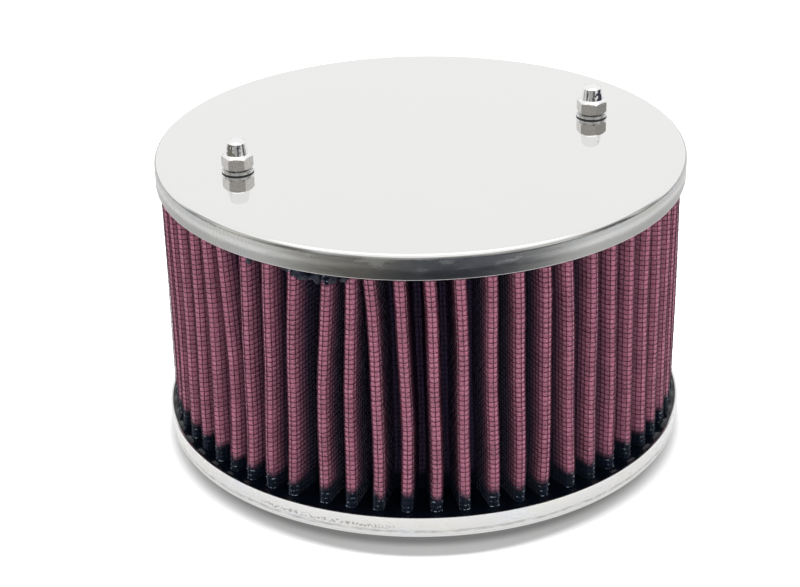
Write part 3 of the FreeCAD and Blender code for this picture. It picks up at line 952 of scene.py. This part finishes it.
# %% Level wires
CRIMP = 0.15 * MM
between = crossing_places + strip_length / crossings / 2
between_points, between_normals = along_strip(between)
on_crest = np.hypot(*between_points.T) > crest_centre
order = np.argsort(np.concatenate((crossing_places, between[on_crest])))
line_points = np.vstack((crossing_points, between_points[on_crest]))[order]
line_normals = np.vstack((crossing_normals, between_normals[on_crest] * OUTWARDS))[order]
over = np.where(np.arange(crossings) % 2 == 0, 1.0, -1.0)
over = np.concatenate((over, np.zeros(on_crest.sum())))[order]
rows = int(PLEAT_HEIGHT / WIRE_PITCH)
level_rows = []
for row in range(rows):
    height = pleat_low.z + (row + 0.5) * WIRE_PITCH
    offset = WIRE_STAND_OFF + CRIMP * over * (1 if row % 2 else -1)
    flat = line_points + line_normals * offset[:, None]
    level_rows.append(lean(np.column_stack((flat, np.full(len(flat), height)))))
BANDS = ("lower", "middle", "upper")
level_wires = []
for band, name in enumerate(BANDS):
    lines = level_rows[band * rows // len(BANDS):(band + 1) * rows // len(BANDS)]
    level_wires.append(wire_piece(f"{name}_level_wires", lines, True))
bpy.data.objects.remove(section)

# %% [markdown]
# ## Resin
#
# Both ends of the strip are cast into blue-black resin. At the foot it lies level with the rim of
# the pan, creeps a few millimetres up the gauze and climbs a little wherever it meets a pleat. The
# pool is a ring turned from its section, and its top is then raised near the cloth.

# %% Resin pool
POOL_TOP = RIM_TOP - 0.12 * MM
POOL_ROUND, POOL_ACROSS = 720, 24
POOL_BEND = 1.4 * MM
MENISCUS, MENISCUS_REACH = 0.6 * MM, 0.9 * MM
seal_points = frame["nodes"]["lower_end_seal"].data.vertices
seal_inner = min(vertex.co.xy.length for vertex in seal_points)
top_line = [(seal_inner + (POOL_RADIUS - seal_inner) * step / POOL_ACROSS, 0, POOL_TOP)
            for step in range(POOL_ACROSS + 1)]
pool = draw_line("resin_pool", [(seal_inner, 0, foot_low.z), *top_line,
                                (POOL_RADIUS, 0, foot_low.z + POOL_BEND)])
lathe(pool, POOL_ROUND)
face_outwards(pool)

foot_line = kdtree.KDTree(len(ring_points) * 3)
thirds = np.vstack([closed[:-1] + np.diff(closed, axis=0) * share for share in (0, 1 / 3, 2 / 3)])
foot_points = lean(np.column_stack((thirds, np.full(len(thirds), pleat_low.z))))
for index, (x, y, _) in enumerate(foot_points):
    foot_line.insert((x, y, 0), index)
foot_line.balance()


def raise_meniscus(points):
    """Lift the skin of the pool near the cloth, but not at the rim."""
    raised = points.copy()
    for index, (x, y, z) in enumerate(points):
        if z < POOL_TOP - 0.1 * MM:
            continue
        gap = foot_line.find((x, y, 0))[2]
        climb = MENISCUS * math.exp(-max(gap - WIRE_LAYER, 0) / MENISCUS_REACH)
        rim_gap = max(POOL_RADIUS - math.hypot(x, y), 0)
        raised[index, 2] = z + climb * min(rim_gap / MENISCUS_REACH, 1)
    return raised


move_points(pool, raise_meniscus)
smooth(pool, 60.0)
print("resin pool:", triangles(pool), "triangles")

# %% [markdown]
# ## Resin in the gauze
#
# Where the strip is cast in, resin creeps up the threads and leaves a dark collar with a ragged
# edge on every pleat. It also darkens the folds behind the resin that ran out under the lid. The
# mask for it could be painted by hand. Here height and noise make it, in one node group, so that
# cloth and wires turn dark at the same places.

# %% Group: resin that soaks the gauze
SPILL_BEARING = -23.0
SPILL_SHAPE = (85.0, 85.0, 190.0)
soak_group, given, soak_out = new_group("resin_soak", {"Foot": 0.0, "Head": 0.0}, Mask="Float")
place, along, height, _ = wrapped_place(soak_group)
ragged = wrapped_noise(along, height, 330.0, 90.0, 3.0, 3.0)
edge = (ragged - 0.5) * (5.0 * MM) + given["Foot"]
at_foot = (height - edge).ramp(-1.6 * MM, 2.2 * MM, 1.0, 0.0)
at_head = (height - given["Head"]).ramp(0.0, 1.0 * MM)
spill_place = at_bearing(OUTER_FOLDS, SPILL_BEARING, SKIRT_EDGE + 1.0 * MM)
from_spill = vector_maths("MULTIPLY", vector_maths("SUBTRACT", place, spill_place), SPILL_SHAPE)
distance = vector_maths("LENGTH", from_spill, output="Value")
behind_spill = (noise(place, 320.0, 3.0) * 0.9 + (distance - 0.45)).ramp(0.85, 1.1, 1.0, 0.0)
feed(soak_out, Mask=largest(at_foot, behind_spill, at_head))
print("resin_soak:", len(soak_group.nodes), "nodes")

# %% [markdown]
# ## Cloth and wire
#
# The cotton is red with oil and flecked with pale fluff. Its darkening from the crests to nearly
# black deep in the folds is painted shade, bluish on the flanks for a painted sheen. The wires
# carry the same oil. Both finishes are one recipe with other numbers, and small pale dashes on the
# soaked wires are painted glints, which stand for resin that shines between them.

# %% Cloth and wire finishes
FLUFF, PAINTED_GLINT = (0.72, 0.42, 0.50, 1.0), (0.36, 0.44, 0.53, 1.0)
SOAKED_TO = RIM_TOP + 6.3 * MM
SOAKED_ROUGHNESS = 0.5


def soaked_fibre(name, crest, fold_shade, soaked, roughness, speckle, painted_glint, **plain):
    """Oiled red fibre or wire, with painted shade into the folds, and dark where resin has soaked
    it.
    """
    material, tree, shader = new_material(name, **plain)
    place, along, height, radius = wrapped_place(tree)
    soak = place_group(tree, soak_group, Foot=SOAKED_TO, Head=SKIRT_EDGE)["Mask"]
    fine = noise(place, 1800.0)
    red = mix_colour(noise(place, 140.0, 4.0).ramp(0.3, 0.7), crest, shaded(crest, 0.72))
    red = mix_colour(fine.ramp(0.45, 0.7) * speckle, red, FLUFF)
    # Painted shade: the colour darkens from the crests towards the fold-shade colour in the folds.
    depth = radius.ramp(OUTER_FOLDS - 9.0 * MM, OUTER_FOLDS - 1.0 * MM, 1.0, 0.0)
    red = mix_colour(depth, red, fold_shade)
    # Painted glints: pale dashes on the soaked wires near the crests stand for light off the resin.
    glint_dashes = wrapped_noise(along, height, 1300.0, 900.0, 2.0, 71.0).ramp(0.5, 0.62)
    outside = radius.ramp(OUTER_FOLDS - 2.0 * MM, OUTER_FOLDS - 0.8 * MM, 0.0, painted_glint)
    soaked = mix_colour(glint_dashes * outside, soaked, PAINTED_GLINT)
    feed(shader, Base_Color=mix_colour(soak, red, soaked),
         Roughness=soak.ramp(0.0, 1.0, roughness, SOAKED_ROUGHNESS),
         Normal=bump(fine, 0.5, 0.1 * MM))
    return material


# The second colour is the painted shade deep in the folds, bluish for a painted sheen.
red_cloth = soaked_fibre(
    "red_cloth", (0.475, 0.166, 0.252, 1.0), (0.046, 0.034, 0.068, 1.0), (0.003, 0.006, 0.014, 1.0),
    0.8, 0.4, 0.0, Specular_IOR_Level=0.06, Sheen_Weight=0.42, Sheen_Roughness=0.4,
    Sheen_Tint=(0.75, 0.8, 1.0, 1.0))
# The second wire colour is the painted shade in the folds.
WIRE_COLOURS = (0.10, 0.02, 0.042, 1.0), (0.01, 0.004, 0.014, 1.0), (0.004, 0.008, 0.018, 1.0)
upright_wire, level_wire = (
    soaked_fibre(name, *WIRE_COLOURS, 0.4, 0.12, painted_glint, Specular_IOR_Level=0.2)
    for name, painted_glint in (("upright_wire", 0.0), ("level_wire", 1.0)))
finish_piece(gauze, red_cloth, "red_gauze", "pleated_element")
finish_piece(upright_wires, upright_wire, "red_gauze")
for piece in level_wires:
    finish_piece(piece, level_wire, "red_gauze")
bpy.data.objects.remove(fold)

# %% [markdown]
# ## The skin of the resin
#
# Fresh resin is a dark mirror with an uneven skin. Where it ran out and dried it is duller and a
# little paler. Both are one recipe: slow noise sways the roughness and bumps the skin.

# %% Resin finishes
def cast_resin(name, colour, specular, smoothest, roughest):
    """Dark resin with an uneven skin."""
    material, tree, shader = new_material(name, Base_Color=colour, Specular_IOR_Level=specular)
    waves = noise(object_place(tree), 260.0)
    feed(shader, Roughness=waves.ramp(0.3, 0.7, smoothest, roughest),
         Normal=bump(waves, 0.35, 0.4 * MM))
    return material


resin = cast_resin("dark_resin", (0.003, 0.005, 0.01, 1.0), 0.25, 0.05, 0.2)
dried_resin = cast_resin("dried_resin", (0.017, 0.02, 0.034, 1.0), 0.4, 0.3, 0.5)
finish_piece(pool, resin, "dark_resin", "lower_end_seal")

# %% [markdown]
# ## Resin that ran out under the lid
#
# When the head of the element was cast, some resin ran over the folds left of the front and set in
# rough lumps below the skirt, and one drop set further left. Lumps could be sculpted. Here a
# handful of small balls is placed by chance in that stretch, melted into one skin by a voxel
# remesh and roughened by a Displace, which gives the same broken outline.

# %% Spilt resin
SPILL_BALLS, SPILL_HALF_WIDTH = 62, 7.0
DROP_BEARING = -38.2
lumpy = bpy.data.textures.new("lumpy", "CLOUDS")
lumpy.noise_scale = 1.3 * MM


def resin_lumps(name, lumps, voxel):
    """One rough skin over balls given as (place, radius)."""
    balls = []
    bpy.ops.object.select_all(action="DESELECT")
    for place, radius in lumps:
        bpy.ops.mesh.primitive_ico_sphere_add(subdivisions=2, radius=radius, location=place)
        balls.append(bpy.context.object)
    for ball in balls:
        ball.select_set(True)
    bpy.ops.object.join()
    piece = new_piece(name)
    bpy.ops.object.transform_apply(location=True, rotation=True, scale=True)
    modify(piece, "REMESH", mode="VOXEL", voxel_size=voxel)
    modify(piece, "DISPLACE", texture=lumpy, strength=0.7 * MM, mid_level=0.5)
    smooth(piece, 60.0)
    finish_piece(piece, dried_resin, "dark_resin")


dice = random.Random(23)
spill = []  # it hangs lowest in the middle of its stretch
for _ in range(SPILL_BALLS):
    off_middle = dice.uniform(-SPILL_HALF_WIDTH, SPILL_HALF_WIDTH)
    longest = 1.5 + 3.0 * (1.0 - abs(off_middle) / 9.0)
    fall = dice.uniform(-1.0, longest) * MM
    reach = OUTER_FOLDS - dice.uniform(0.9, 3.2) * MM
    size = dice.uniform(0.6, 1.25) * MM
    spill.append((at_bearing(reach, SPILL_BEARING + off_middle, SKIRT_EDGE - fall), size))
drop = [(at_bearing(OUTER_FOLDS - 0.5 * MM, DROP_BEARING, SKIRT_EDGE - fall * MM), size * MM)
        for fall, size in ((-0.3, 0.9), (0.7, 0.8), (1.6, 0.95), (2.3, 0.75))]
resin_lumps("spilt_resin", spill, 0.35 * MM)
resin_lumps("resin_drop", drop, 0.25 * MM)

# %% [markdown]
# ## Metals of the small parts
#
# Cap nuts and washers are bright steel, and the nuts are ground on their flats and polished on
# their domes. The hidden studs, nuts and spring washers are zinc plated, and a thin ring of black
# rubber lies under each washer. Apart from the studs these are the frame's own solids, shown as
# they are, so all they need is a finish: a colour, a roughness and the scale of the grain.

# %% Metals of the small parts
POLISHED = (0.88, 0.88, 0.88, 1.0)


def small_metal(name, colour, roughness, grain_scale=500.0, polished_above=None):
    """Bright metal with a fine grain; above a given height it may be polished and dented."""
    material, tree, shader = new_material(name, Metallic=1.0)
    place = object_place(tree)
    grain = noise(place, grain_scale, 3.0)
    shade = mix_colour(grain.ramp(0.35, 0.7), colour, shaded(colour, 0.9))
    satin = grain.ramp(0.3, 0.7, roughness, roughness + 0.08)
    if polished_above is not None:
        polished = parts(place)[2].ramp(polished_above, polished_above + 0.3 * MM)
        shade = mix_colour(polished, shade, POLISHED)
        satin = mix(polished, satin, 0.06)
        feed(shader, Normal=bump(noise(place, 420.0, 1.0) * polished, 0.5, 0.25 * MM))
    feed(shader, Base_Color=shade, Roughness=satin)
    return material


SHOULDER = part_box("cap_nut_front")[0].z + 4.1 * MM
nut_steel = small_metal("satin_nut_steel", (0.66, 0.64, 0.62, 1.0), 0.2, 700.0, SHOULDER)
bright_steel = small_metal("bright_steel", (0.80, 0.81, 0.82, 1.0), 0.12)
plated_steel = small_metal("plated_steel", (0.60, 0.60, 0.57, 1.0), 0.32)
rubber, tree, shader = new_material("black_rubber", Base_Color=(0.012, 0.012, 0.013, 1.0))
feed(shader, Roughness=noise(object_place(tree), 1200.0).ramp(0.3, 0.7, 0.45, 0.65))

FINISHES = {"bright_steel": bright_steel, "plated_steel": plated_steel, "black_rubber": rubber,
            "dark_resin": resin, "chromed_sheet": pan_chrome, "red_gauze": red_cloth}
for part in frame["record"]["subparts"]:
    is_cap_nut = part["node"].startswith("cap_nut")
    for slot in frame["nodes"][part["node"]].material_slots:
        slot.material = nut_steel if is_cap_nut else FINISHES[part["material_slot"]]
print("finishes for the frame's own solids:", len(FINISHES) + 1)

# %% [markdown]
# ## Studs
#
# The studs are threaded rods. A thread is a small peak that climbs as it is turned, which is just
# what the Screw modifier does with a screw offset. The ends are then sawn off level, with the cut
# filled.

# %% Threaded studs
THREAD_PITCH, THREAD_DEPTH, THREAD_STEPS = 0.8 * MM, 0.45 * MM, 20
root = STUD_RADIUS - THREAD_DEPTH
for side, middle in STUDS.items():
    low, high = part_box(f"stud_{side}")
    start = low.z - 2 * THREAD_PITCH
    thread = draw_line(f"threaded_stud_{side}", [
        (root, 0, start), (STUD_RADIUS, 0, start + THREAD_PITCH / 2),
        (root, 0, start + THREAD_PITCH)])
    lathe(thread, THREAD_STEPS, screw_offset=THREAD_PITCH,
          iterations=math.ceil((high.z - start) / THREAD_PITCH) + 2)
    face_outwards(thread)
    for height, below in ((low.z, True), (high.z, False)):
        with editing(thread):
            bpy.ops.mesh.bisect(plane_co=(0, 0, height), plane_no=(0, 0, 1), use_fill=True,
                                clear_inner=below, clear_outer=not below)
    shift(thread, (middle.x, middle.y, 0))
    smooth(thread)
    finish_piece(thread, plated_steel, "plated_steel", f"stud_{side}")

# %% [markdown]
# ## Camera
#
# The photograph was taken from in front and above with a long lens, held a little askew. Where it
# was taken from follows from the outlines of lid and rim, so the render can be laid over it.

# %% Camera
CAMERA_PLACE = (-7.735 * MM, -607.011 * MM, 345.96 * MM)
LOOKS_DOWN, ROLL = math.radians(26.223), math.radians(1.182)
view = bpy.data.cameras.new("camera")
view.lens = 87.38
view.sensor_width = 36.0
camera = stand("camera", view)
scene = bpy.context.scene
scene.camera = camera
forward = Vector((0, math.cos(LOOKS_DOWN), -math.sin(LOOKS_DOWN)))
level_up = Vector((0, math.sin(LOOKS_DOWN), math.cos(LOOKS_DOWN)))
right = math.cos(ROLL) * Vector((1, 0, 0)) - math.sin(ROLL) * level_up
up = math.sin(ROLL) * Vector((1, 0, 0)) + math.cos(ROLL) * level_up
turned = Matrix((right, up, -forward)).transposed().to_4x4()
camera.matrix_world = Matrix.Translation(CAMERA_PLACE) @ turned
print("camera lens", round(view.lens, 2), "mm")

# %% [markdown]
# ## Floor
#
# The object stands on white paper in soft light from all sides, so only a narrow shade lies round
# its foot, darkest under the rim and softer towards the sides. That shade is a painted shadow in
# the paper's colour, and outside it a plain glow that only the camera sees makes the paper as white
# as in the photograph. A weak glow near the object, for mirrors only, keeps the rim of the pan
# bright.

# %% Floor
PAPER_RADIUS, PAPER_SIDES = 3.0, 96
SHADE_MIDDLE = (0, -1.5 * MM, 0)


def light_rays(tree):
    """Two signals: 1 for what the camera sees itself, and 1 for what metal and glass show it."""
    camera_ray = node(tree, "ShaderNodeLightPath", output="Is Camera Ray")
    mirror_rays = (camera_ray.sibling(f"Is {kind} Ray") for kind in ("Glossy", "Transmission"))
    return camera_ray, largest(*mirror_rays)


scene.view_settings.view_transform = "Standard"
bpy.ops.object.select_all(action="DESELECT")
bpy.ops.mesh.primitive_circle_add(vertices=PAPER_SIDES, radius=PAPER_RADIUS, fill_type="NGON",
                                  location=(0, 0, 0))
floor = new_piece("floor")
paper_with_painted_shadow, tree, shader = new_material("white_paper_painted_shadow", Roughness=0.8, Emission_Color=(1, 1, 1, 1))
place = object_place(tree)
past_rim = vector_maths("DISTANCE", place, SHADE_MIDDLE, "Value") - PAN_RADIUS
sideways = abs(parts(place)[0]).ramp(6 * MM, 70 * MM)
open_floor = past_rim.ramp(sideways * (-4.7 * MM) + 0.8 * MM, sideways * (0.5 * MM) + 3.6 * MM)
# Painted shadow: the paper's colour darkens from under the rim to just past it.
painted_shadow = past_rim.ramp(-7.0 * MM, -2.2 * MM, 0.22, 0.64)
camera_ray, mirror_ray = light_rays(tree)
seen = camera_ray * (open_floor * 0.79 + 0.06)
mirrored = mirror_ray * past_rim.ramp(10 * MM, 70 * MM, 0.45, 0.0)
feed(shader, Base_Color=largest(painted_shadow, open_floor * 0.85), Emission_Strength=seen + mirrored)
floor.data.materials.append(paper_with_painted_shadow)
print("floor:", len(tree.nodes), "nodes")

# %% [markdown]
# ## Surroundings
#
# All round stands plain white, as in a light tent. The camera and the mirrors see it at full
# strength. Everything else gets a fifth of it, so that the folds stay dark and the lamps decide
# where the light falls.

# %% World
TENT_LIGHT = 0.2
world = bpy.data.worlds.new("studio")
scene.world = world
world.use_nodes = True
background = world.node_tree.nodes["Background"]
background.inputs["Color"].default_value = (1, 1, 1, 1)
feed(background, Strength=largest(*light_rays(world.node_tree)).ramp(0.0, 1.0, TENT_LIGHT, 1.0))
print("world:", len(world.node_tree.nodes), "nodes")

# %% [markdown]
# ## Cards for the chrome
#
# Chrome shows what stands round it. The skirt of the lid is dark in front, olive towards the left
# and bluish towards the right, because the floor ended at a dark room. Cards that only mirrors see
# stand in for that room. What a card shows is a colour and a cover, worked out from the place on
# it in metres: a dark floor in front of the object and at its sides, a wall with darker and paler
# stretches, which gives the nuts their streaks, and a bright strip overhead, which draws the white
# line on the bend of the lid.

# %% What the cards show
OLIVE_FLOOR, BLUISH_FLOOR = (0.17, 0.163, 0.14, 1.0), (0.045, 0.05, 0.065, 1.0)
DARK_WALL, PALE_WALL = (0.08, 0.08, 0.085, 1.0), (0.75, 0.745, 0.73, 1.0)
HIGH_WALL = (0.5, 0.49, 0.47, 1.0)


def dark_floor(x, y, z):
    """Colour and cover, from the place on the card."""
    beside = abs(x).ramp(0.45, 0.65) * y.ramp(0.5, 0.3)
    return (mix_colour(x.ramp(-0.2, 0.03), OLIVE_FLOOR, BLUISH_FLOOR),
            largest(y.ramp(-0.12, -0.27), beside))


def room(x, y, z):
    bearing = node(x.tree, "ShaderNodeCombineXYZ", {0: x.maths("ARCTAN2", y * -1.0)})
    low = mix_colour(noise(bearing, 1.7).ramp(0.42, 0.58), DARK_WALL, PALE_WALL)
    return mix_colour(z.ramp(0.25, 1.0), low, HIGH_WALL), y.ramp(0.75, 0.25) * z.ramp(1.15, 0.85)


def bright_strip(x, y, z):
    within = y.ramp(-0.62, -0.58) * y.ramp(0.12, 0.08)
    return (1.6, 1.6, 1.6, 1.0), abs(x).ramp(1.1, 0.9) * within


# %% [markdown]
# ## Three cards
#
# A card glows where it covers and lets everything through elsewhere, so it needs no outline of its
# own: two squares and an open cylinder are enough.

# %% Cards
def card_material(name, look):
    """Light of a given colour where cover is 1 and nothing at all where it is 0."""
    material, tree, shader = new_material(name)
    tree.nodes.remove(shader)
    colour, cover = look(*parts(object_place(tree)))
    glow = node(tree, "ShaderNodeEmission", {"Color": colour})
    clear = node(tree, "ShaderNodeBsdfTransparent")
    mixed = node(tree, "ShaderNodeMixShader", {0: cover, 1: clear, 2: glow})
    feed(tree.nodes["Material Output"], Surface=mixed)
    return material


def finish_card(name, look):
    """Make the primitive just added a card that shows in polished metal and nowhere else."""
    card = new_piece(name)
    bpy.ops.object.transform_apply(location=True)
    card.data.materials.append(card_material(name, look))
    card.visible_camera = card.visible_diffuse = card.visible_shadow = False
    card.visible_transmission = card.visible_volume_scatter = False
    print(name, "covers", [round(side, 2) for side in card.dimensions], "m")


bpy.ops.mesh.primitive_plane_add(size=4.0, location=(0, 0, 0.2 * MM))
finish_card("dark_floor_card", dark_floor)
bpy.ops.mesh.primitive_cylinder_add(vertices=96, radius=1.5, depth=1.2, end_fill_type="NOTHING",
                                    location=(0, 0, 0.6))
finish_card("room_card", room)
bpy.ops.mesh.primitive_plane_add(size=2.4, location=(0, 0, 1.4))
finish_card("bright_strip_card", bright_strip)

# %% [markdown]
# ## Lamps
#
# A wide lamp overhead gives the soft light and a small one inside it gives the shade its edge.
# Weak lamps in front and at both sides lift the red of the pleats. None of them shows in the
# chrome, which mirrors the cards.

# %% Lamps
OBJECT_MIDDLE = Vector((0, 0, 50 * MM))
LAMPS = [  # name, place, width and height, watts
    ("softbox", (0, 0.2, 1.4), (2.0, 1.6), 5.0),
    ("hard_lamp", (0, 0.14, 1.38), (0.06, 0.06), 6.5),
    ("front_fill", (0.1, -1.5, 0.6), (0.9, 0.6), 8.5),
    ("side_lamp", (-1.4, -0.35, 0.4), (0.7, 0.7), 7.0),
    ("side_lamp", (1.4, -0.35, 0.4), (0.7, 0.7), 7.0),
]
for name, place, size, watts in LAMPS:
    light = bpy.data.lights.new(name, "AREA")
    light.shape = "RECTANGLE"
    light.size, light.size_y = size
    light.energy = watts
    lamp = stand(name, light)
    lamp.location = place
    lamp.rotation_euler = (OBJECT_MIDDLE - Vector(place)).to_track_quat("-Z", "Y").to_euler()
    lamp.visible_glossy = False
print("lamps:", [light.name for light in bpy.data.lights])

# %% Finish
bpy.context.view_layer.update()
print("triangles in all:", sum(triangles(piece) for piece in bpy.data.objects
                               if piece.type == "MESH" and not piece.hide_render))
